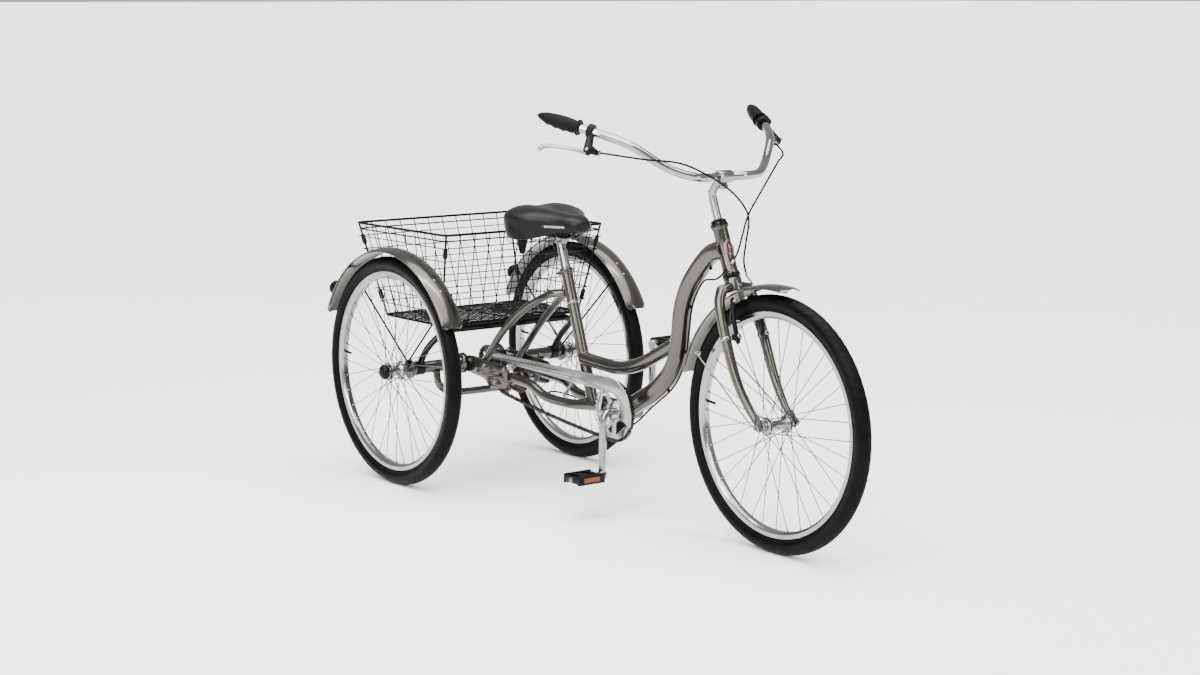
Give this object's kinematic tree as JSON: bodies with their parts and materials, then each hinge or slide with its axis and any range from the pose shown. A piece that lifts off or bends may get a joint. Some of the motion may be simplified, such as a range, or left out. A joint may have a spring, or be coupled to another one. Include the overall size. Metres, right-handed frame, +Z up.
{
  "type": "adult tricycle",
  "caption": "Adult three-wheeled cycle with a low step-through frame, swept handlebar, chain guard, fenders and a large wire cargo basket between the rear wheels.",
  "frame": {"origin": "on the ground under the middle of the tricycle's length and width", "axes": "+X forward towards the front wheel, +Y to the rider's left, +Z up"},
  "size_m": [1.9254, 0.7742, 1.0945],
  "materials": {
    "frame_paint": "dark bronze-grey metallic paint, glossy",
    "steel": "bright plated steel",
    "lever_alloy": "polished alloy",
    "bar_metal": "satin silver",
    "rim_alloy": "polished alloy",
    "hub_metal": "polished alloy with bright spokes",
    "tyre": "black rubber",
    "grip": "soft black",
    "saddle": "black imitation leather",
    "saddle_frame": "black",
    "black_plastic": "matt black",
    "brake_arm": "matt black",
    "black_wire": "black coated wire",
    "basket_wire": "black coated wire",
    "cable": "black cable housing",
    "chain": "dark oiled steel",
    "chain_guard": "silver",
    "freewheel": "brown steel",
    "reflector": "red lens in a black holder"
  },
  "bodies": {
    "frame": {"axle_chain": "chain", "axle_housing_left": "frame_paint", "axle_housing_right": "frame_paint", "axle_plate_left": "frame_paint", "axle_plate_right": "frame_paint", "basket": "basket_wire", "basket_rack": "frame_paint", "bottom_bracket_shell": "frame_paint", "brake_housing": "steel", "chain_guard": "chain_guard", "chain_stays": "frame_paint", "drive_chain": "chain", "fender_left": "frame_paint", "fender_right": "frame_paint", "fender_stay_left": "black_wire", "fender_stay_right": "black_wire", "head_tube": "frame_paint", "lower_cross_tube": "frame_paint", "lower_tube": "frame_paint", "main_tube": "frame_paint", "rear_brake_cable": "cable", "reflector_left": "reflector", "reflector_right": "reflector", "seat_stays": "frame_paint", "seat_tube": "frame_paint"},
    "steering": {"fork": "frame_paint", "front_axle": "steel", "front_fender": "frame_paint", "stem": "bar_metal", "handlebar": "bar_metal", "grip_right": "grip", "grip_left": "grip", "lever_bracket_right": "black_plastic", "lever_bracket_left": "black_plastic", "front_brake_cable": "cable", "rear_cable_loop": "cable"},
    "front_wheel": {"front_tyre": "tyre", "front_rim": "rim_alloy", "front_hub": "hub_metal"},
    "drive_wheel": {"left_tyre": "tyre", "left_rim": "rim_alloy", "left_hub": "hub_metal", "rear_axle": "steel", "axle_sprocket": "steel"},
    "free_wheel": {"right_tyre": "tyre", "right_rim": "rim_alloy", "right_hub": "hub_metal"},
    "crankset": {"crank": "steel", "chainring": "steel"},
    "pedal_right": {"pedal_right": "black_plastic"},
    "pedal_left": {"pedal_left": "black_plastic"},
    "mid_hub": {"mid_hub": "freewheel"},
    "seat": {"seat_post": "steel", "saddle": "saddle", "saddle_frame": "saddle_frame"},
    "brake_lever_right": {"brake_lever_right": "lever_alloy"},
    "brake_lever_left": {"brake_lever_left": "lever_alloy"},
    "brake_arm_right": {"brake_arm_right": "brake_arm"},
    "brake_arm_left": {"brake_arm_left": "brake_arm"},
    "rear_brake_arm": {"rear_brake_arm": "steel"}
  },
  "joints": [
    {"name": "steering_turn", "type": "hinge", "parent": "frame", "child": "steering", "pos_m": [0.6043, 0, 0.31561], "axis": [-0.3665, 0, 0.9304], "range_deg": [-50, 50]},
    {"name": "front_wheel_spin", "type": "hinge", "parent": "steering", "child": "front_wheel", "pos_m": [0.635, 0, 0.3277], "axis": [0, 1, 0], "continuous": true},
    {"name": "drive_wheel_spin", "type": "hinge", "parent": "frame", "child": "drive_wheel", "pos_m": [-0.635, 0, 0.3277], "axis": [0, 1, 0], "continuous": true},
    {"name": "free_wheel_spin", "type": "hinge", "parent": "frame", "child": "free_wheel", "pos_m": [-0.635, -0.32, 0.3277], "axis": [0, 1, 0], "continuous": true},
    {"name": "crank_spin", "type": "hinge", "parent": "frame", "child": "crankset", "pos_m": [0.035, 0, 0.279], "axis": [0, 1, 0], "continuous": true},
    {"name": "mid_hub_spin", "type": "hinge", "parent": "frame", "child": "mid_hub", "pos_m": [-0.475, 0, 0.292], "axis": [0, 1, 0], "continuous": true},
    {"name": "pedal_right_spin", "type": "hinge", "parent": "crankset", "child": "pedal_right", "pos_m": [0.035, -0.1475, 0.109], "axis": [0, 1, 0], "continuous": true},
    {"name": "pedal_left_spin", "type": "hinge", "parent": "crankset", "child": "pedal_left", "pos_m": [0.035, 0.1475, 0.449], "axis": [0, 1, 0], "continuous": true},
    {"name": "seat_height", "type": "slide", "parent": "frame", "child": "seat", "axis": [-0.3256, 0, 0.9455], "range_m": [-0.05, 0.1]},
    {"name": "brake_lever_right_pull", "type": "hinge", "parent": "steering", "child": "brake_lever_right", "pos_m": [0.27403, -0.31749, 1.00217], "axis": [-0.4334, 0.6705, -0.6022], "range_deg": [0, 18], "stiffness_Nm_per_rad": 1.5, "springref_deg": -11.46},
    {"name": "brake_arm_right_close", "type": "hinge", "parent": "steering", "child": "brake_arm_right", "pos_m": [0.53455, -0.046, 0.54178], "axis": [-0.9304, 0, -0.3665], "range_deg": [0, 3]},
    {"name": "brake_lever_left_pull", "type": "hinge", "parent": "steering", "child": "brake_lever_left", "pos_m": [0.27403, 0.31749, 1.00217], "axis": [0.4334, 0.6705, 0.6022], "range_deg": [0, 18], "stiffness_Nm_per_rad": 1.5, "springref_deg": -11.46},
    {"name": "brake_arm_left_close", "type": "hinge", "parent": "steering", "child": "brake_arm_left", "pos_m": [0.53455, 0.046, 0.54178], "axis": [0.9304, 0, 0.3665], "range_deg": [0, 3]},
    {"name": "rear_brake_arm_pull", "type": "hinge", "parent": "frame", "child": "rear_brake_arm", "pos_m": [-0.579, 0.0465, 0.3277], "axis": [0, 1, 0], "range_deg": [0, 12]}
  ],
  "couplings": [
    {"joint": "mid_hub_spin", "follows": "drive_wheel_spin", "ratio": 1.1111},
    {"joint": "crank_spin", "follows": "drive_wheel_spin", "ratio": 0.5},
    {"joint": "brake_arm_right_close", "follows": "brake_lever_right_pull", "ratio": 0.16111},
    {"joint": "brake_arm_left_close", "follows": "brake_lever_right_pull", "ratio": 0.16111},
    {"joint": "rear_brake_arm_pull", "follows": "brake_lever_left_pull", "ratio": 0.66111}
  ]
}
